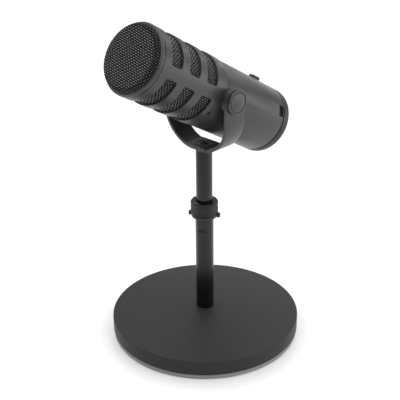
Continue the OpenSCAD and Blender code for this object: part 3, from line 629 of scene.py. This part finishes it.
# ---------------------------------------------------------------- rear housing
HR = REAR + RING_LEN + RING_GAP
housing = rounded([(29.9, HR, 0), (BODY_R, HR, 0.3), (BODY_R, SEAM, 0.2), (31.1, SEAM, 0),
                   (31.1, SEAM + 11.9, 0.2), (29.9, SEAM + 11.9, 0)], 4)
housing = lathe("housing", housing, MIC, n=216)
window = rounded([(-4.5, -70.4, 1.2), (4.5, -70.4, 1.2), (4.5, -54.0, 1.2), (-4.5, -54.0, 1.2)], 5)
cuts = [prism("mcut", window, 24, 44, "Y", MIC)]
LOWROT = MIC @ Matrix.Rotation(rad(22.7), 4, "Z")
lw = rounded([(-5.5, HR + 0.8, 0.5), (5.5, HR + 0.8, 0.5), (5.5, HR + 7.8, 0.5), (-5.5, HR + 7.8, 0.5)], 4)
cuts.append(prism("lcut", lw, 26.5, 40, "X", LOWROT))
cuts.append(lathe("inserts", [(0, -60), (5.55, -60), (5.55, 60), (0, 60)], SIDE_R, n=64))
boolean(housing, cuts)
bevel(housing, 0.22, 2, 40)
place_piece(housing, "mic", "body_coat", "rear_housing")

ring_front = REAR + RING_LEN - 0.4
ring = rounded([(28.45, REAR + 0.9, 0.2), (29.3, REAR, 0.4), (31.6, REAR, 0.6), (BODY_R, REAR + 0.9, 0.5),
                (BODY_R, ring_front, 0.5), (31.2, ring_front, 0), (31.2, REAR + 3.0, 0),
                (28.45, REAR + 3.0, 0)], 4)
ring = lathe("ring_rear", ring, MIC, n=216, angle=40)
place_piece(ring, "mic", "body_coat", "rear_ring", mat="ring_coat")

# mute switch: bezel with rounded window, and a slider with two blocks parted by a groove
frame_o = rounded([(-4.4, -70.3, 1.1), (4.4, -70.3, 1.1), (4.4, -54.1, 1.1), (-4.4, -54.1, 1.1)], 5)
bezel = prism("bezel", frame_o, 28.4, 34, "Y", MIC)
flush = BODY_R - 0.15
boolean(bezel, [lathe("lim", [(0, -120), (flush, -120), (flush, 40), (0, 40)], MIC, n=216)], "INTERSECT")
hole = rounded([(-3.1, -69.2, 0.4), (3.1, -69.2, 0.4), (3.1, -55.2, 0.4), (-3.1, -55.2, 0.4)], 3)
hole = prism("bh", hole, 26, 40, "Y", MIC)
boolean(bezel, [hole])
bevel(bezel, 0.2, 2, 40)
place_piece(bezel, "mic", "black_plastic", "mute_bezel")

S0, S1, TOPY = -65.9, -55.5, BODY_R + 3.1
MID = (S0 + S1) / 2
sl = [(S0, 28.6, 0), (S1, 28.6, 0), (S1, TOPY - 0.35, 1.0)]
for a, b in ((S1 - 0.9, MID + 1.1), (MID - 1.1, S0 + 0.9)):      # two crowned blocks, each with a fine line
    m = (a + b) / 2
    sl += [(a - 0.4, TOPY, 0.3), (m + 0.3, TOPY, 0), (m, TOPY - 0.35, 0), (m - 0.3, TOPY, 0),
           (b + 0.1, TOPY, 0.4)]
    if a > MID:
        sl += [(MID + 0.55, TOPY - 1.2, 0.3), (MID - 0.55, TOPY - 1.2, 0.3)]
sl += [(S0, TOPY - 0.35, 1.0)]
sl = rounded(sl, 4)
slider = prism("mute_cap", [(b, a) for a, b in sl], -3, 3, "X", MIC)
bevel(slider, 0.25, 2, 55)
place_piece(slider, "mute", "switch_black", "mute_slider", mat="cap_plastic")

# low-cut switch: a recessed tray with a short slider at one end
tray = [(-5.45, HR + 0.85), (5.45, HR + 0.85), (5.45, HR + 7.75), (-5.45, HR + 7.75)]
tray = prism("tray", tray, 26.6, 30.2, "X", LOWROT)
pocket = [(-4.5, HR + 1.8), (4.5, HR + 1.8), (4.5, HR + 6.8), (-4.5, HR + 6.8)]
pocket = prism("pk", pocket, 27.7, 40, "X", LOWROT)
boolean(tray, [pocket])
bevel(tray, 0.2, 2, 40)
place_piece(tray, "mic", "black_plastic", "lowcut_frame")
lo = []
for i in range(5):
    y0 = -4.3 + i * 1.12
    lo += [(30.4, y0), (30.4, y0 + 0.75), (29.9, y0 + 0.9), (29.9, y0 + 1.05)]
ol = [(27.8, -4.35)] + lo + [(30.4, 1.35), (27.8, 1.35)]
cap_o = prism("lowcut_cap", ol, HR + 1.95, HR + 6.65, "Z", LOWROT)
bevel(cap_o, 0.12, 2, 50)
place_piece(cap_o, "lowcut", "switch_black", "lowcut_slider")

# ---------------------------------------------------------------- CAD nodes that stay: their finish
SLOTS = {s["node"]: s["material_slot"] for s in frame["record"]["subparts"]}
for n, o in nodes.items():
    if not o.hide_render:
        o.data.materials.clear()
        o.data.materials.append(MATS[SLOTS[n]])

# ---------------------------------------------------------------- floor, light, camera
bm = bmesh.new()
bmesh.ops.create_circle(bm, cap_ends=True, radius=6.0, segments=96)
fm = bpy.data.meshes.new("floor")
bm.to_mesh(fm)
bm.free()
floor = bpy.data.objects.new("floor", fm)
bpy.context.scene.collection.objects.link(floor)
floor.data.materials.append(material("floor_paint", (0.94, 0.94, 0.94), 0.24, 0, 0.5, 60, 0.0, 0.01, 0.02, 3))

world = bpy.data.worlds.new("studio")
bpy.context.scene.world = world
world.use_nodes = True
wn = world.node_tree
bg = wn.nodes["Background"]
tc = N(wn, "ShaderNodeTexCoord")
sep = N(wn, "ShaderNodeSeparateXYZ")
wn.links.new(tc.outputs["Generated"], sep.inputs[0])
ramp = N(wn, "ShaderNodeValToRGB")
ramp.color_ramp.elements[0].color = (0.03, 0.03, 0.03, 1)
ramp.color_ramp.elements[1].color = (0.88, 0.88, 0.88, 1)
for pos, grey in ((0.3, 0.15), (0.55, 0.58)):
    ramp.color_ramp.elements.new(pos).color = (grey, grey, grey, 1)
wn.links.new(sep.outputs["Z"], ramp.inputs["Fac"])
wn.links.new(ramp.outputs["Color"], bg.inputs["Color"])
bg.inputs["Strength"].default_value = 2.0


def softbox(name, az, el, wide, high, radiance, far=3.0):
    """A panel seen from the object at an azimuth and elevation, with its width and height in degrees."""
    l = bpy.data.lights.new(name, "AREA")
    l.shape = "RECTANGLE"
    l.size = 2 * far * math.tan(rad(wide / 2))
    l.size_y = 2 * far * math.tan(rad(high / 2))
    l.energy = math.pi * radiance * l.size * l.size_y
    o = bpy.data.objects.new(name, l)
    bpy.context.scene.collection.objects.link(o)
    flat = math.cos(rad(el))
    d = Vector((math.cos(rad(az)) * flat, math.sin(rad(az)) * flat, math.sin(rad(el))))
    o.location = d * far
    o.rotation_euler = (-d).to_track_quat("-Z", "Y").to_euler()
    return o


softbox("strip_right", 38, 7, 66, 14, 2.4)
softbox("box_right", 16, 23, 34, 18, 1.1)
softbox("box_back", 90, 23, 36, 18, 1.3)
softbox("strip_back_left", 126, 7, 36, 14, 1.0)
softbox("box_left", 198, 23, 36, 18, 1.0)

# ---------------------------------------------------------------- camera
eye = Vector((591.6, -595.5, 543.2))
aim = (Vector((-8.2, 2.2, 140.2)) - eye).normalized()
level = aim.cross(Vector((0, 0, 1))).normalized()
right = Matrix.Rotation(rad(0.54), 3, aim) @ level
cam = bpy.data.cameras.new("camera")
cam.sensor_width = 36.0
cam.lens = 86.38
co = bpy.data.objects.new("camera", cam)
bpy.context.scene.collection.objects.link(co)
turn = Matrix((right, right.cross(aim), -aim)).transposed().to_4x4()
co.matrix_world = Matrix.Translation(eye * MM) @ turn
bpy.context.scene.camera = co
bpy.context.scene.view_settings.view_transform = "Standard"
